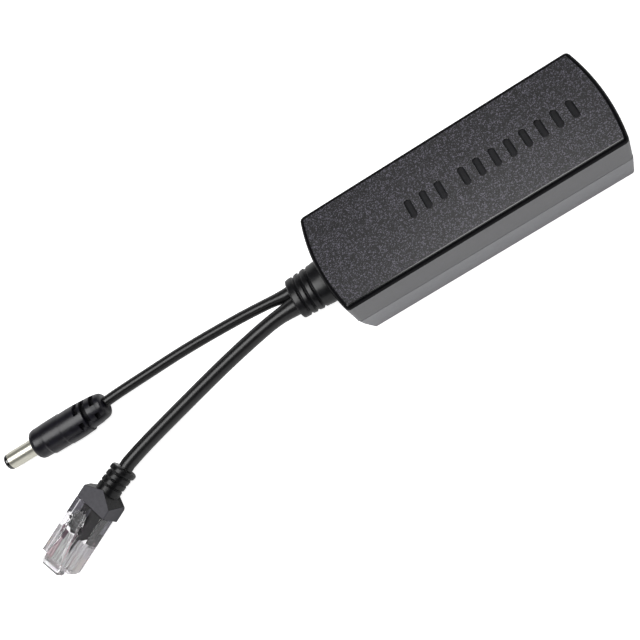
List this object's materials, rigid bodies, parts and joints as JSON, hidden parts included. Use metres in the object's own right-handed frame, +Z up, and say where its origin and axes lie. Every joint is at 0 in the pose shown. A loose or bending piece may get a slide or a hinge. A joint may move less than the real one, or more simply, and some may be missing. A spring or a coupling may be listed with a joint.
{
  "type": "poe splitter",
  "caption": "Slim black box with a network socket in one end and, from a ribbed strain relief in the other, a short network plug lead and a short DC plug lead.",
  "frame": {"origin": "bottom centre of the box, without the leads: the middle of its underside, on the surface it stands on", "axes": "+X along the box towards the network socket end, +Y across it to the back, +Z up out of the lid; the leads leave the -X end"},
  "size_m": [0.2084, 0.0518, 0.0216],
  "materials": {
    "case_plastic": "fine spark-eroded grain with a polished rim",
    "relief_pvc": "satin moulded PVC",
    "cable_pvc": "smooth PVC jacket",
    "boot_pvc": "satin moulded PVC",
    "clear_plastic": "clear polycarbonate",
    "gold_plate": "gold plated phosphor bronze",
    "grip_pvc": "glossy moulded PVC",
    "nickel_plate": "nickel plated brass",
    "plug_insulator": "matte black",
    "socket_plastic": "smooth black",
    "solder_mask": "green solder mask on glass-fibre laminate",
    "dark_epoxy": "moulded epoxy",
    "capacitor_sleeve": "shrunk sleeve on an aluminium can",
    "ferrite": "sintered, matte",
    "winding_tape": "yellow polyester tape over copper",
    "enamelled_copper": "enamelled copper winding",
    "wire_red": "PVC insulation",
    "wire_black": "PVC insulation",
    "wire_orange": "PVC insulation",
    "wire_green": "PVC insulation",
    "wire_blue": "PVC insulation",
    "wire_brown": "PVC insulation"
  },
  "bodies": {
    "root": {"top_cover": "case_plastic", "bottom_case": "case_plastic", "strain_relief": "relief_pvc", "data_cable": "cable_pvc", "power_cable": "cable_pvc", "data_plug_boot": "boot_pvc", "data_plug_body": "clear_plastic", "data_plug_contact_1": "gold_plate", "data_plug_contact_2": "gold_plate", "data_plug_contact_3": "gold_plate", "data_plug_contact_4": "gold_plate", "data_plug_contact_5": "gold_plate", "data_plug_contact_6": "gold_plate", "data_plug_contact_7": "gold_plate", "data_plug_contact_8": "gold_plate", "power_plug_grip": "grip_pvc", "power_plug_sleeve": "nickel_plate", "power_plug_insulator": "plug_insulator", "power_plug_inner_contact": "nickel_plate", "socket_housing": "socket_plastic", "socket_contact_1": "gold_plate", "socket_contact_2": "gold_plate", "socket_contact_3": "gold_plate", "socket_contact_4": "gold_plate", "socket_contact_5": "gold_plate", "socket_contact_6": "gold_plate", "socket_contact_7": "gold_plate", "socket_contact_8": "gold_plate", "circuit_board": "solder_mask", "network_transformer": "dark_epoxy", "bridge_rectifier_a": "dark_epoxy", "bridge_rectifier_b": "dark_epoxy", "controller_chip": "dark_epoxy", "switching_transistor": "dark_epoxy", "optocoupler": "dark_epoxy", "output_diode": "dark_epoxy", "input_capacitor": "capacitor_sleeve", "output_capacitor_a": "capacitor_sleeve", "output_capacitor_b": "capacitor_sleeve", "power_transformer_core": "ferrite", "power_transformer_winding": "winding_tape", "output_inductor": "enamelled_copper", "power_wire_positive": "wire_red", "power_wire_negative": "wire_black", "data_pair_wire_1": "wire_orange", "data_pair_wire_2": "wire_green", "data_pair_wire_3": "wire_blue", "data_pair_wire_4": "wire_brown"}
  },
  "joints": []
}
